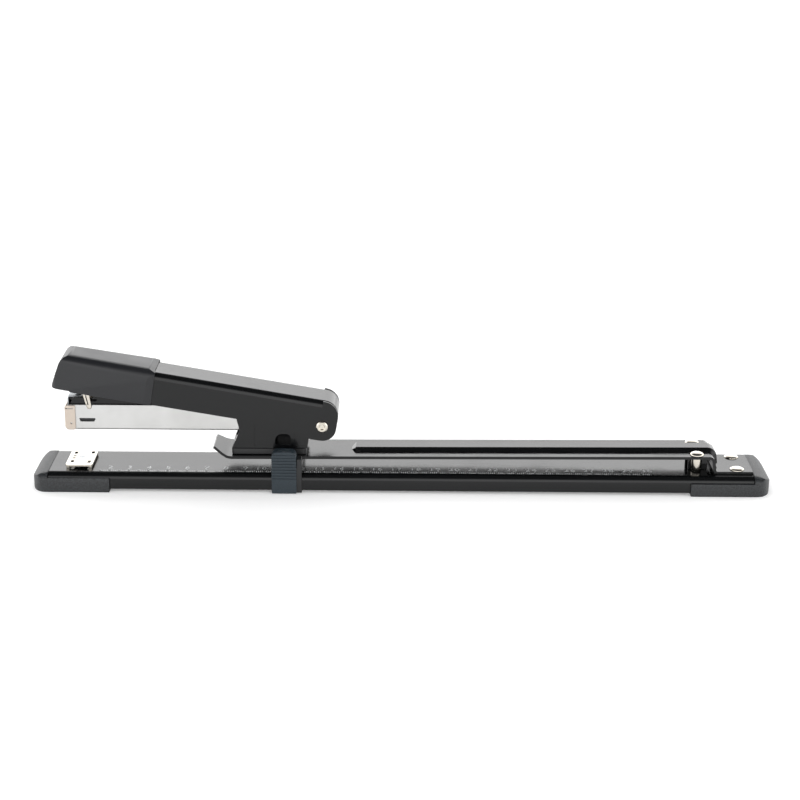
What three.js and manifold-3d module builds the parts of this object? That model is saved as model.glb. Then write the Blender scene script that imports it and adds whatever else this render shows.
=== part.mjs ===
// A long-arm stapler: a ruled base channel carries a long flat arm, and the stapling head is hinged on
// the front of that arm. Millimetres, +Z up, X along the base with the anvil at -X, Y across.
// The origin is under the middle of the base, on the surface that the stapler stands on.
import * as THREE from "three";
import { mergeVertices } from "three/addons/utils/BufferGeometryUtils.js";
import Module from "manifold-3d";

const wasm = await Module();
wasm.setup();

// Driving dimensions ---------------------------------------------------------------------------------

const MIDDLE_X = 1.15; // the drawing's X at the middle of the overall length
const STAPLE_X = -170.8; // where a staple leaves the magazine
const TOUCH = 0.1; // clearance between pieces that are fastened together

const BASE = { front: -181.3, rear: 183.1, half: 18, top: 9.8, bottom: 1.3, sheet: 1.2, corner: 3.4 };
const FOOT = { half: 19.7, sole: 1.2, fullness: 2.6, noseLow: 3.8, round: 4.6, boss: 3.6, bossTop: 3.9 };
const FRONT_FOOT = { tip: -190.6, wallEnd: -149.5, wallTop: 7.5, noseTop: 9.8, screw: -176 };
const REAR_FOOT = { tip: 192.9, wallEnd: 150.3, wallTop: 6.7, noseTop: 10.4, screw: 178.5 };
const FOOT_SCREW = { head: 2.4, shank: 1.3, hole: 1.5, top: 8 };
const ARM = { half: 13, sheet: 1.5, ribFront: -25, ribRear: 166.5 };
const RIB = { half: 5.2, crown: 3.7, height: 1.9, wall: 1.1 };
const POST = { x: 153.9, y: 9.1, head: 3.7, foot: 2.6, shank: 2.8, neck: 1.6, hole: 1.8 };
const TAB_RIVET = { x: 175.1, y: 9.2 };
const PIVOT = { x: -40, z: 33.9, pin: 2.5, hole: 2.6, head: 3.05 };
const BRACKET = { inner: 8.7, outer: 9.9, ear: 6.2, low: 21.4, floor: 22.6, window: [-64.3, -56.2] };
const BRACKET_RIVET = { xs: [-80, -52], hole: 1.9, neck: 1.6 };
const MAGAZINE = { inner: 6.7, outer: 7.5, floor: 30, top: 43.4, front: -171.6, ear: 5.8 };
const GUIDE = { inner: 4.7, outer: 6.0, low: 38.3, floor: 39.3 };
const PUSHER = { front: -165.7, rear: -154, half: 6.4, low: 31.1, top: 37.2, rodZ: 33.5, rod: 1 };
const HANDLE = { tilt: 9.5, half: 11.3, sheet: 1.0, top: 13.5, corner: 3.3, front: -97, tongue: -128 };
const CAP = { half: 12.8, noseHalf: 10.3, wall: 1, skin: 1.7, rim: 3.6, lean: 0.177, top: 15, low: -3.4 };
const CAP_X = { front: -139.9, rear: -88.4, corner: 4.5 };
const STOP = { front: -65.4, rear: -50.3, gripRear: -53, inner: 13.8, outer: 20.2, top: 22.8, bridge: 14.2 };
const ANVIL = { front: -173, rear: -159.2, half: 11.4, top: 12.1, sheet: 1.0, stem: 1.5, bore: 2.7 };
const ANVIL_X = (ANVIL.front + ANVIL.rear) / 2;

// Solids ---------------------------------------------------------------------------------------------

function solid(geometry) {
  const plain = geometry.clone();
  plain.deleteAttribute("normal");
  plain.deleteAttribute("uv");
  const merged = mergeVertices(plain, 1e-4);
  return new wasm.Manifold(
    new wasm.Mesh({
      numProp: 3,
      vertProperties: new Float32Array(merged.attributes.position.array),
      triVerts: new Uint32Array(merged.index.array),
    }),
  );
}

function surfaceOf(body) {
  const mesh = body.getMesh();
  const geometry = new THREE.BufferGeometry();
  geometry.setAttribute("position", new THREE.BufferAttribute(mesh.vertProperties, 3));
  geometry.setIndex(new THREE.BufferAttribute(mesh.triVerts, 1));
  const faceted = geometry.toNonIndexed();
  faceted.computeVertexNormals();
  return faceted;
}

function join(...bodies) {
  return bodies.reduce((all, body) => all.add(body));
}

function cut(body, ...tools) {
  return tools.reduce((left, tool) => left.subtract(tool), body);
}

function box([x0, x1], [y0, y1], [z0, z1]) {
  const geometry = new THREE.BoxGeometry(x1 - x0, y1 - y0, z1 - z0);
  geometry.translate((x0 + x1) / 2, (y0 + y1) / 2, (z0 + z1) / 2);
  return solid(geometry);
}

// Rounds each corner [a, b, radius] of an outline; a corner with no radius stays sharp.
function rounded(corners, { open = false, step = 18 } = {}) {
  const points = [];
  corners.forEach(([a, b, radius = 0], i) => {
    const at = new THREE.Vector2(a, b);
    const isEnd = open && (i === 0 || i === corners.length - 1);
    if (!radius || isEnd) {
      points.push(at);
      return;
    }
    const before = corners.at((i - 1 + corners.length) % corners.length);
    const after = corners[(i + 1) % corners.length];
    const back = new THREE.Vector2(before[0], before[1]).sub(at).normalize();
    const on = new THREE.Vector2(after[0], after[1]).sub(at).normalize();
    const half = Math.acos(THREE.MathUtils.clamp(back.dot(on), -1, 1)) / 2;
    const centre = at.clone().add(back.clone().add(on).normalize().multiplyScalar(radius / Math.sin(half)));
    const start = at.clone().add(back.multiplyScalar(radius / Math.tan(half))).sub(centre).angle();
    const end = at.clone().add(on.multiplyScalar(radius / Math.tan(half))).sub(centre).angle();
    const sweep = Math.atan2(Math.sin(end - start), Math.cos(end - start));
    const steps = Math.max(2, Math.round(Math.abs(THREE.MathUtils.radToDeg(sweep)) / step));
    for (let k = 0; k <= steps; k += 1) {
      const angle = start + (sweep * k) / steps;
      points.push(new THREE.Vector2(centre.x + radius * Math.cos(angle), centre.y + radius * Math.sin(angle)));
    }
  });
  return points;
}

function extrude(points, depth) {
  return new THREE.ExtrudeGeometry(new THREE.Shape(points), { depth, bevelEnabled: false });
}

// An (X, Z) outline carried across Y.
function acrossY(points, [y0, y1]) {
  const geometry = extrude(points, y1 - y0);
  geometry.rotateX(Math.PI / 2);
  geometry.translate(0, y1, 0);
  return solid(geometry);
}

// A (Y, Z) outline carried along X.
function alongX(points, [x0, x1]) {
  const geometry = extrude(points, x1 - x0);
  const turn = new THREE.Matrix4().makeBasis(
    new THREE.Vector3(0, 1, 0),
    new THREE.Vector3(0, 0, 1),
    new THREE.Vector3(1, 0, 0),
  );
  geometry.applyMatrix4(turn);
  geometry.translate(x0, 0, 0);
  return solid(geometry);
}

// An (X, Y) outline carried up Z.
function upZ(points, [z0, z1]) {
  const geometry = extrude(points, z1 - z0);
  geometry.translate(0, 0, z0);
  return solid(geometry);
}

// A round bar across Y.
function barY(x, z, radius, [y0, y1], sides = 20) {
  const geometry = new THREE.CylinderGeometry(radius, radius, y1 - y0, sides);
  geometry.translate(x, (y0 + y1) / 2, z);
  return solid(geometry);
}

// A body turned about a line along Z, from its [radius, z] profile.
function turned(profile, x, y, sides = 18) {
  const geometry = new THREE.LatheGeometry(profile.map(([r, z]) => new THREE.Vector2(r, z)), sides);
  geometry.rotateX(Math.PI / 2);
  geometry.translate(x, y, 0);
  return solid(geometry);
}

function barZ(x, y, radius, [z0, z1], sides = 14) {
  return turned([[0, z0], [radius, z0], [radius, z1], [0, z1]], x, y, sides);
}

// The outline of a bent sheet: a path with rounded bends, given from one side of it to the other.
function band(path, low, high) {
  const side = (offset) =>
    path.map((point, i) => {
      const from = path[Math.max(0, i - 1)];
      const to = path[Math.min(path.length - 1, i + 1)];
      const along = to.clone().sub(from).normalize();
      return new THREE.Vector2(point.x - along.y * offset, point.y + along.x * offset);
    });
  return [...side(low), ...side(high).reverse()];
}

// A coil spring about +Z, from z0 to z1.
function coil(radius, wire, turns, [z0, z1], perTurn = 10, sides = 4) {
  const points = [];
  for (let k = 0; k <= turns * perTurn; k += 1) {
    const angle = (k / perTurn) * Math.PI * 2;
    const z = z0 + wire + ((z1 - z0 - 2 * wire) * k) / (turns * perTurn);
    points.push(new THREE.Vector3(radius * Math.cos(angle), radius * Math.sin(angle), z));
  }
  const circle = new THREE.Shape();
  circle.absarc(0, 0, wire, 0, Math.PI * 2);
  return new THREE.ExtrudeGeometry(circle, {
    steps: turns * perTurn,
    extrudePath: new THREE.CatmullRomCurve3(points),
    curveSegments: sides / 2,
    bevelEnabled: false,
  });
}

// A U section opening upwards or downwards, as [Y, Z] corners.
function channel(outer, inner, z0, z1, web, corner, isOpenBelow) {
  const flip = ([y, z, r]) => [y, isOpenBelow ? z1 + z0 - z : z, r];
  const corners = [
    [-outer, z1],
    [-outer, z0, corner],
    [outer, z0, corner],
    [outer, z1],
    [inner, z1],
    [inner, z0 + web, Math.max(corner - web, 0.2)],
    [-inner, z0 + web, Math.max(corner - web, 0.2)],
    [-inner, z1],
  ].map(flip);
  return rounded(isOpenBelow ? corners.reverse() : corners);
}

// Finishes -------------------------------------------------------------------------------------------

const FINISH = {
  blackPaint: { color: 0x1b1d1f, roughness: 0.28, metalness: 0.1 },
  footPlastic: { color: 0x3a3d40, roughness: 0.62, metalness: 0 },
  capPlastic: { color: 0x45464a, roughness: 0.4, metalness: 0 },
  gripPlastic: { color: 0x45525a, roughness: 0.5, metalness: 0 },
  blackPlastic: { color: 0x151616, roughness: 0.45, metalness: 0 },
  nickel: { color: 0xdedcd6, roughness: 0.2, metalness: 1 },
  warmNickel: { color: 0xd9cbbc, roughness: 0.28, metalness: 1 },
  springSteel: { color: 0x9a9c9e, roughness: 0.3, metalness: 1 },
  stapleWire: { color: 0xc4c6c8, roughness: 0.3, metalness: 1 },
  rubber: { color: 0x2a2a2a, roughness: 0.9, metalness: 0 },
};

const stapler = new THREE.Group();
stapler.position.x = -MIDDLE_X;

function place(name, body, finish, parent = stapler) {
  const geometry = body.isBufferGeometry ? body : surfaceOf(body);
  const mesh = new THREE.Mesh(geometry, new THREE.MeshStandardMaterial(FINISH[finish]));
  mesh.name = name;
  parent.add(mesh);
  return mesh;
}

// Base -----------------------------------------------------------------------------------------------

// The channel opens downwards. The foot screws go into blind bosses, so they don't show on top.
function baseChannel() {
  const { half, sheet, bottom, top, corner } = BASE;
  const section = channel(half, half - sheet, bottom, top, sheet, corner, true);
  const under = BASE.top - BASE.sheet;
  const through = [under - 1, BASE.top + 1];
  const screws = [FRONT_FOOT.screw, REAR_FOOT.screw];
  const bosses = screws.map((x) => barZ(x, 0, 3.2, [FOOT.bossTop + TOUCH, under + 0.2]));
  const holes = screws.map((x) => barZ(x, 0, FOOT_SCREW.hole, [0, under - 0.4]));
  holes.push(barZ(ANVIL_X, 0, ANVIL.bore, through));
  for (const side of [-1, 1]) {
    holes.push(barZ(POST.x, side * POST.y, POST.hole, through));
    holes.push(barZ(TAB_RIVET.x, side * TAB_RIVET.y, POST.hole, through));
  }
  return cut(join(alongX(section, [BASE.front, BASE.rear]), ...bosses), ...holes);
}

// A shoe round one end of the base: a rounded nose that falls away, side walls and a sole.
// direction is -1 at the front and 1 at the rear.
function foot(direction, { tip, wallEnd, wallTop, noseTop, screw }) {
  const joint = (direction < 0 ? BASE.front : BASE.rear) + direction * TOUCH;
  const length = Math.abs(tip - joint);
  const nosePlan = [];
  for (let k = 0; k <= 20; k += 1) {
    const angle = -Math.PI / 2 + (Math.PI * k) / 20;
    const across = Math.sign(Math.sin(angle)) * Math.abs(Math.sin(angle)) ** (2 / FOOT.fullness);
    const out = Math.max(Math.cos(angle), 0) ** (2 / FOOT.fullness);
    nosePlan.push(new THREE.Vector2(joint + direction * length * out, across * FOOT.half));
  }
  const plan = [new THREE.Vector2(wallEnd, -FOOT.half), ...nosePlan, new THREE.Vector2(wallEnd, FOOT.half)];
  // The side view of the nose: level at the joint with the base, then a quarter ellipse down to the tip.
  const side = [];
  for (let k = 0; k <= 8; k += 1) {
    const angle = (Math.PI / 2) * (1 - k / 8);
    const fall = (noseTop - FOOT.noseLow) * Math.sin(angle);
    side.push(new THREE.Vector2(joint + direction * length * Math.cos(angle), FOOT.noseLow + fall));
  }
  side.push(
    new THREE.Vector2(tip, 1),
    new THREE.Vector2(tip - direction, 0),
    new THREE.Vector2(wallEnd, 0),
    new THREE.Vector2(wallEnd, wallTop),
    new THREE.Vector2(joint, wallTop),
  );
  if (direction < 0) plan.reverse();
  else side.reverse();
  const crown = rounded([
    [-FOOT.half, noseTop, FOOT.round],
    [-FOOT.half, 0],
    [FOOT.half, 0],
    [FOOT.half, noseTop, FOOT.round],
  ]);
  const block = upZ(plan, [0, noseTop])
    .intersect(acrossY(side, [-FOOT.half, FOOT.half]))
    .intersect(alongX(crown, [Math.min(tip, wallEnd) - 1, Math.max(tip, wallEnd) + 1]));
  const open = wallEnd - direction;
  const reach = BASE.half + TOUCH;
  const room = box([Math.min(joint, open), Math.max(joint, open)], [-reach, reach], [FOOT.sole, 20]);
  const boss = barZ(screw, 0, FOOT.boss, [0.6, FOOT.bossTop]);
  const recess = barZ(screw, 0, FOOT_SCREW.head + 0.3, [-1, 2.6]);
  return cut(join(cut(block, room), boss), recess, barZ(screw, 0, FOOT_SCREW.hole, [0, 12]));
}

function footScrew(x) {
  const { head, shank, top } = FOOT_SCREW;
  const body = turned([[0, 0.5], [head, 0.5], [head, 2.2], [shank, 2.4], [shank, top], [0, top]], x, 0, 16);
  const slot = box([x - 1.9, x + 1.9], [-0.3, 0.3], [0, 1.2]);
  return cut(body, slot);
}

place("base_channel", baseChannel(), "blackPaint");
place("front_foot", foot(-1, FRONT_FOOT), "footPlastic");
place("rear_foot", foot(1, REAR_FOOT), "footPlastic");
place("front_foot_screw", footScrew(FRONT_FOOT.screw), "springSteel");
place("rear_foot_screw", footScrew(REAR_FOOT.screw), "springSteel");

// Long arm -------------------------------------------------------------------------------------------

// The arm's side view, at mid sheet: the turned-up lip, the long flat, the rear bend and the tab.
const armStart = [-89.6, 17.15];
const armBend = [162.2, 18.7];
const tabBend = [163.2, 10.65];
const armPath = rounded(
  [
    [-96.2, 21.5],
    [...armStart, 9],
    [...armBend, 2.4],
    [...tabBend, 1.6],
    [182.9, tabBend[1]],
  ],
  { open: true },
);
// The rib follows the flat and the rear bend, and ends above the tab.
const ribPath = rounded([armStart, [...armBend, 2.4], tabBend], { open: true });

// The pressed rib, or the hollow under it: straight lengths between the path's points, each narrower
// at the top. levels are [height over mid sheet, half width].
function ribLengths(levels) {
  const edges = levels.map(([height]) => band(ribPath, height, height).slice(0, ribPath.length));
  const lengths = ribPath.slice(1).map((_, i) =>
    wasm.Manifold.hull(
      levels.flatMap(([, half], level) =>
        [edges[level][i], edges[level][i + 1]].flatMap(({ x, y: z }) => [[x, -half, z], [x, half, z]]),
      ),
    ),
  );
  return join(...lengths);
}

function longArm() {
  const { half, sheet, ribFront, ribRear } = ARM;
  const plate = acrossY(band(armPath, -sheet / 2, sheet / 2), [-half, half]);
  const keep = (reach, frontX) => {
    const plan = rounded([
      [frontX, -reach, reach * 0.95],
      [ribRear, -reach],
      [ribRear, reach],
      [frontX, reach, reach * 0.95],
    ]);
    return upZ(plan, [12.6, 30]);
  };
  const frontSlope = acrossY(
    [[-1, 18], [-0.2, 18], [2.6, 20.4], [2.6, 22], [-1, 22]].map(([x, z]) => new THREE.Vector2(ribFront + x, z)),
    [-half, half],
  );
  const surface = sheet / 2;
  const outside = ribLengths([[0, RIB.half], [surface, RIB.half], [surface + RIB.height, RIB.crown]]);
  const rib = cut(outside.intersect(keep(RIB.half, ribFront)), frontSlope);
  const inside = ribLengths([
    [-sheet, RIB.half - sheet],
    [-surface, RIB.half - sheet],
    [RIB.height - surface, RIB.crown - RIB.wall],
  ]);
  const hollow = inside.intersect(keep(RIB.half - sheet, ribFront + 3.5));
  const holes = BRACKET_RIVET.xs.map((x) => barZ(x, 0, BRACKET_RIVET.hole, [15, 22]));
  const lipCorners = [];
  for (const side of [-1, 1]) {
    holes.push(barZ(POST.x, side * POST.y, POST.hole, [15, 22]));
    holes.push(barZ(TAB_RIVET.x, side * TAB_RIVET.y, POST.hole, [9, 13]));
    const points = [
      new THREE.Vector2(-98, side * 8.6),
      new THREE.Vector2(-95.6, side * 9.4),
      new THREE.Vector2(-87.5, side * 13.5),
      new THREE.Vector2(-98, side * 13.5),
    ];
    if (side < 0) points.reverse();
    lipCorners.push(upZ(points, [10, 30]));
  }
  return cut(join(plate, rib), hollow, ...holes, ...lipCorners);
}

// A shouldered post that is closed over above the arm and below the base.
function guidePost(side) {
  const under = BASE.top - BASE.sheet;
  const profile = [
    [0, under - 1],
    [POST.foot, under - 1],
    [POST.foot, under - TOUCH],
    [POST.neck, under - TOUCH],
    [POST.neck, BASE.top + TOUCH],
    [POST.shank - 0.3, BASE.top + TOUCH],
    [POST.shank, 16],
    [POST.shank, 17.65],
    [POST.neck, 17.65],
    [POST.neck, 19.5],
    [POST.head, 19.5],
    [POST.head, 19.9],
    [POST.head - 0.7, 20.5],
    [1.8, 20.8],
    [0, 20.9],
  ];
  return turned(profile, POST.x, side * POST.y);
}

function tabRivet(side) {
  const under = BASE.top - BASE.sheet;
  const profile = [
    [0, under - 1],
    [POST.foot, under - 1],
    [POST.foot, under - TOUCH],
    [POST.neck, under - TOUCH],
    [POST.neck, 11.5],
    [POST.head, 11.5],
    [POST.head, 11.8],
    [POST.head - 0.8, 12.3],
    [1.8, 12.55],
    [0, 12.6],
  ];
  return turned(profile, TAB_RIVET.x, side * TAB_RIVET.y);
}

place("long_arm", longArm(), "blackPaint");
const riserSection = channel(5.8, 4.6, BASE.top + TOUCH, 17.3, 1.2, 1, true);
place("riser_block", alongX(riserSection, [150.2, 160.2]), "blackPaint");
for (const [side, label] of [[-1, "near"], [1, "far"]]) {
  place(`guide_post_${label}`, guidePost(side), "nickel");
  place(`tab_rivet_${label}`, tabRivet(side), "nickel");
}

// Head bracket ---------------------------------------------------------------------------------------

function bracketPad() {
  const plan = rounded([
    [-86.7, -10.5, 1.5],
    [-48.4, -10.5, 1.5],
    [-48.4, 10.5, 1.5],
    [-86.7, 10.5, 1.5],
  ]);
  const holes = BRACKET_RIVET.xs.map((x) => barZ(x, 0, BRACKET_RIVET.hole, [15, 25]));
  return cut(upZ(plan, [18.35, BRACKET.low - TOUCH]), ...holes);
}

// A folded bracket: two walls on a floor, with a window through both walls and a pressed line on each
// side of it. A lanced tab on the floor keeps the magazine spring from creeping back.
function bracket() {
  const { inner, outer, ear, low, floor, window } = BRACKET;
  const wall = rounded([
    [-86.6, low],
    [-47.6, low],
    [-47.6, 27.2, 1.5],
    [-40, 28.5],
    [-38.5, 38],
    [-46, 41, 3],
    [-80, 41.5, 3],
    [-84.3, 38],
    [-82.5, 30.9, 6],
  ]);
  const opening = rounded([
    [window[0], 23.2, 0.6],
    [window[1], 23.2, 0.6],
    [window[1], 29.2, 2.5],
    [window[0], 29.2, 3.5],
  ]);
  const reach = [-outer, outer];
  const walls = cut(
    join(acrossY(wall, reach), barY(PIVOT.x, PIVOT.z, ear, reach, 28)),
    box([-90, -30], [-inner, inner], [floor, 60]),
    box([-45.5, -30], [-inner, inner], [20, 60]),
  );
  const lines = [[-74.7, 34.4], [-54.2, 30]].flatMap(([x, top]) =>
    [-outer - 1, outer - 0.3].map((y) => box([x - 0.3, x + 0.3], [y, y + 1.3], [floor, top])),
  );
  const tab = box([-66.3, -55.6], [-0.6, 0.6], [floor - 0.2, 26.2]);
  return cut(
    join(walls, tab),
    acrossY(opening, [-12, -inner + 0.1]),
    acrossY(opening, [inner - 0.1, 12]),
    barY(PIVOT.x, PIVOT.z, PIVOT.hole, [-12, 12]),
    ...BRACKET_RIVET.xs.map((x) => barZ(x, 0, BRACKET_RIVET.hole, [20, 25])),
    ...lines,
  );
}

function bracketRivet(x) {
  const seat = BRACKET.floor + TOUCH;
  const profile = [
    [0, 15.1],
    [2.9, 15.5],
    [2.9, 16.25],
    [BRACKET_RIVET.neck, 16.25],
    [BRACKET_RIVET.neck, seat],
    [3, seat],
    [2.6, seat + 0.8],
    [0, seat + 1],
  ];
  return turned(profile, x, 0, 20);
}

function pivotPin() {
  const reach = HANDLE.half + 0.2;
  const shank = barY(PIVOT.x, PIVOT.z, PIVOT.pin, [-reach - 0.05, reach + 0.05]);
  const head = (side) => {
    const geometry = new THREE.LatheGeometry(
      [
        [0, 0],
        [PIVOT.head, 0],
        [PIVOT.head, 0.6],
        [PIVOT.head - 0.6, 1],
        [1.5, 1],
        [1.3, 0.15],
        [0, 0.15],
      ].map(([r, y]) => new THREE.Vector2(r, y)),
      24,
    );
    if (side < 0) geometry.rotateX(Math.PI);
    geometry.translate(PIVOT.x, side * reach, PIVOT.z);
    return solid(geometry);
  };
  return join(shank, head(-1), head(1));
}

function pivotWasher(side) {
  const from = MAGAZINE.outer + TOUCH;
  const to = BRACKET.inner - TOUCH;
  const span = side < 0 ? [-to, -from] : [from, to];
  return cut(barY(PIVOT.x, PIVOT.z, 5, span), barY(PIVOT.x, PIVOT.z, PIVOT.hole, [-20, 20]));
}

place("bracket_pad", bracketPad(), "blackPlastic");
place("head_bracket", bracket(), "blackPaint");
place("bracket_rivet_front", bracketRivet(BRACKET_RIVET.xs[0]), "springSteel");
place("bracket_rivet_rear", bracketRivet(BRACKET_RIVET.xs[1]), "springSteel");
place("pivot_pin", pivotPin(), "nickel");
place("pivot_washer_near", pivotWasher(-1), "springSteel");
place("pivot_washer_far", pivotWasher(1), "springSteel");

const magazineSpring = place("magazine_spring", coil(3.2, 0.5, 4, [22.8, 29.8]), "springSteel");
magazineSpring.position.set(-71, 0, 0);

// Anvil ----------------------------------------------------------------------------------------------

// The plate turns on its stem, so that either row of clinching slots can be under the staple.
function anvilPlate() {
  const { front, rear, half, top, sheet, stem } = ANVIL;
  const plan = rounded([
    [front, -half, 1],
    [rear, -half, 1],
    [rear, half, 1],
    [front, half, 1],
  ]);
  const parts = [upZ(plan, [top - sheet, top])];
  const cuts = [barZ(ANVIL_X, 0, stem + TOUCH, [9, 14])];
  const slots = [
    [STAPLE_X + 0.6, 0.8, 2.3],
    [STAPLE_X + 0.6, 4.8, 8],
    [STAPLE_X + 9.4, 5.2, 8.6],
  ];
  for (const side of [-1, 1]) {
    for (const x of [ANVIL_X - 5.8, ANVIL_X + 5.8]) {
      const y = side * (half - 0.6);
      parts.push(box([x - 0.7, x + 0.7], [y - 0.5, y + 0.5], [BASE.top + TOUCH, top - sheet / 2]));
    }
    for (const [x, from, to] of slots) {
      const span = side < 0 ? [-to, -from] : [from, to];
      cuts.push(box([x - 0.85, x + 0.85], span, [top - sheet - 1, top + 1]));
    }
  }
  return cut(join(...parts), ...cuts);
}

function anvilStem() {
  const { top, sheet, stem } = ANVIL;
  const shoulder = top - sheet - TOUCH;
  const profile = [
    [0, 1.8],
    [5.4, 1.8],
    [6, 2.2],
    [6, 3],
    [2.3, 3],
    [2.3, shoulder],
    [stem, shoulder],
    [stem, top - 0.05],
    [0, top - 0.05],
  ];
  return turned(profile, ANVIL_X, 0);
}

place("anvil_plate", anvilPlate(), "nickel");
place("anvil_stem", anvilStem(), "springSteel");
const anvilSpring = place("anvil_spring", coil(3.4, 0.35, 3, [3.1, 8.5]), "springSteel");
anvilSpring.position.set(ANVIL_X, 0, 0);

// Paper stop -----------------------------------------------------------------------------------------

// A saddle that hooks under the base's sides, bridges over its top and has an upright on each side.
function stopSlider() {
  const { front, rear, inner, gripRear, bridge } = STOP;
  const cheek = BASE.half + 0.2;
  const outer = STOP.outer - 1;
  const low = 0.35;
  const hook = 15.6;
  const hookTop = 1;
  const roof = BASE.top + 0.7;
  const section = [
    [-outer, low],
    [-hook, low],
    [-hook, hookTop],
    [-cheek, hookTop],
    [-cheek, roof],
    [cheek, roof],
    [cheek, hookTop],
    [hook, hookTop],
    [hook, low],
    [outer, low],
    [outer, bridge],
    [-outer, bridge],
  ].map(([y, z]) => new THREE.Vector2(y, z));
  const uprights = [-1, 1].map((side) => {
    const span = side < 0 ? [-outer, -inner] : [inner, outer];
    return box([gripRear + TOUCH, rear], span, [bridge - 0.1, 18.7]);
  });
  return join(alongX(section, [front, rear]), ...uprights);
}

// The finger grip: a ribbed pad that stands beside the arm and runs down over the slider's cheek.
function stopGrip(side) {
  const { front, gripRear, inner, outer, top, bridge } = STOP;
  const face = rounded([
    [front - 0.3, 0.3, 0.4],
    [gripRear, 0.3, 0.4],
    [gripRear, top, 3],
    [front - 0.3, top, 3],
  ]);
  const span = ([a, b]) => (side < 0 ? [-b, -a] : [a, b]);
  const block = acrossY(face, span([inner, outer]));
  const slider = box([-80, -40], span([0, outer - 0.9]), [-2, bridge + TOUCH]);
  const ribPitch = 1.6;
  const grooves = [];
  for (let k = 0; k < 9; k += 1) {
    const z = top - 1.5 - k * ribPitch;
    grooves.push(box([-80, -40], span([outer - 0.35, outer + 1]), [z - 0.3, z + 0.3]));
  }
  return cut(block, slider, ...grooves);
}

place("stop_slider", stopSlider(), "blackPlastic");
place("stop_grip_near", stopGrip(-1), "gripPlastic");
place("stop_grip_far", stopGrip(1), "gripPlastic");
place("stop_pad", box([-64, -54], [-6, 6], [BASE.top + TOUCH, 10.4]), "rubber");

// Magazine -------------------------------------------------------------------------------------------

function magazineChannel() {
  const { inner, outer, floor, top, front, ear } = MAGAZINE;
  const section = channel(outer, inner, floor, top, 0.8, 1.1, false);
  const side = rounded([
    [front, floor, 2.2],
    [-37.5, floor],
    [-34.6, 33, 2],
    [-36, 38.6],
    [-41, 39.6, 3],
    [-60, top, 8],
    [front, top, 0.8],
  ]);
  const reach = [-outer, outer];
  const profile = join(acrossY(side, reach), barY(PIVOT.x, PIVOT.z, ear, reach, 24));
  const notch = rounded([
    [-161.9, top + 1],
    [-160.9, 41.2, 0.7],
    [-159.0, 41.2, 0.7],
    [-158.0, top + 1],
  ]);
  const slot = rounded([
    [-164.6, 34.4, 0.4],
    [-157.6, 34.4, 0.4],
    [-156.7, 36.3, 0.4],
    [-165.5, 36.3, 0.4],
  ]);
  return cut(
    alongX(section, [front, PIVOT.x + ear]).intersect(profile),
    acrossY(notch, [-10, 10]),
    acrossY(slot, [-10, 10]),
    box([-180, STAPLE_X + 1.1], [-6.5, 6.5], [29, 31.2]),
    box([-47, -30], [-inner, inner], [29, 31.2]),
    barY(PIVOT.x, PIVOT.z, PIVOT.hole, [-10, 10]),
  );
}

// The wear plate that wraps the front of the magazine and guides the blade.
function headPlate() {
  const outline = rounded([
    [-172.6, 30.1, 2],
    [-167.2, 30.1, 1.2],
    [-167.2, 43.2, 0.6],
    [-172.6, 43.2, 0.8],
  ]);
  return cut(
    acrossY(outline, [-8.2, 8.2]),
    box([-171.95, -160], [-7.6, 7.6], [20, 50]),
    box([-172.2, -168.2], [-9, -7], [41.35, 41.85]),
    box([-172.2, -168.2], [7, 9], [41.35, 41.85]),
    barY(-169.4, 33.7, 0.5, [-9, 9], 12),
  );
}

function stapleRail() {
  const low = 30.95;
  const high = 36.6;
  const block = box([-168.8, -60], [-5.2, 5.2], [low, high]);
  return cut(
    block,
    box([-167.8, -61], [-4.4, 4.4], [low - 1, high - 0.8]),
    box([-166.4, -62], [-0.9, 0.9], [low, high + 1]),
  );
}

// What is left of a strip: a few staples, glued side by side.
function stapleStrip() {
  const section = channel(6.35, 5.85, 31.1, 37.2, 0.5, 0.5, true);
  return alongX(section, [STAPLE_X + 0.5, PUSHER.front - 0.3]);
}

// The pusher rides over the rail like a staple, with a foot inside it that slides on the rod.
function pusher() {
  const { front, rear, half, low, top, rodZ, rod } = PUSHER;
  const footRear = rear - 4;
  const saddle = alongX(channel(half, half - 0.9, low, top, 0.5, 0.4, true), [front, rear]);
  const web = box([front, footRear], [-0.6, 0.6], [35, top - 0.2]);
  const foot = box([front, footRear], [-3.9, 3.9], [low + 0.5, 35.5]);
  return cut(join(saddle, web, foot), acrossX(rodZ, rod + 0.3, [front - 5, rear + 5]));
}

// A round bar along X, at Y = 0.
function acrossX(z, radius, [x0, x1], sides = 16) {
  const geometry = new THREE.CylinderGeometry(radius, radius, x1 - x0, sides);
  geometry.rotateZ(Math.PI / 2);
  geometry.translate((x0 + x1) / 2, 0, z);
  return solid(geometry);
}

place("magazine_channel", magazineChannel(), "nickel");
place("head_plate", headPlate(), "warmNickel");
place("staple_rail", stapleRail(), "springSteel");
place("staple_strip", stapleStrip(), "stapleWire");
place("pusher", pusher(), "blackPlastic");
place("pusher_rod", acrossX(PUSHER.rodZ, PUSHER.rod, [-167.5, -61.3]), "springSteel");
const springFront = PUSHER.rear - 3.7;
const pusherSpring = place("pusher_spring", coil(1.9, 0.3, 26, [0, -61.5 - springFront], 7), "springSteel");
pusherSpring.rotation.y = Math.PI / 2;
pusherSpring.position.set(springFront, 0, PUSHER.rodZ);

// Inner arm ------------------------------------------------------------------------------------------

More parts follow.
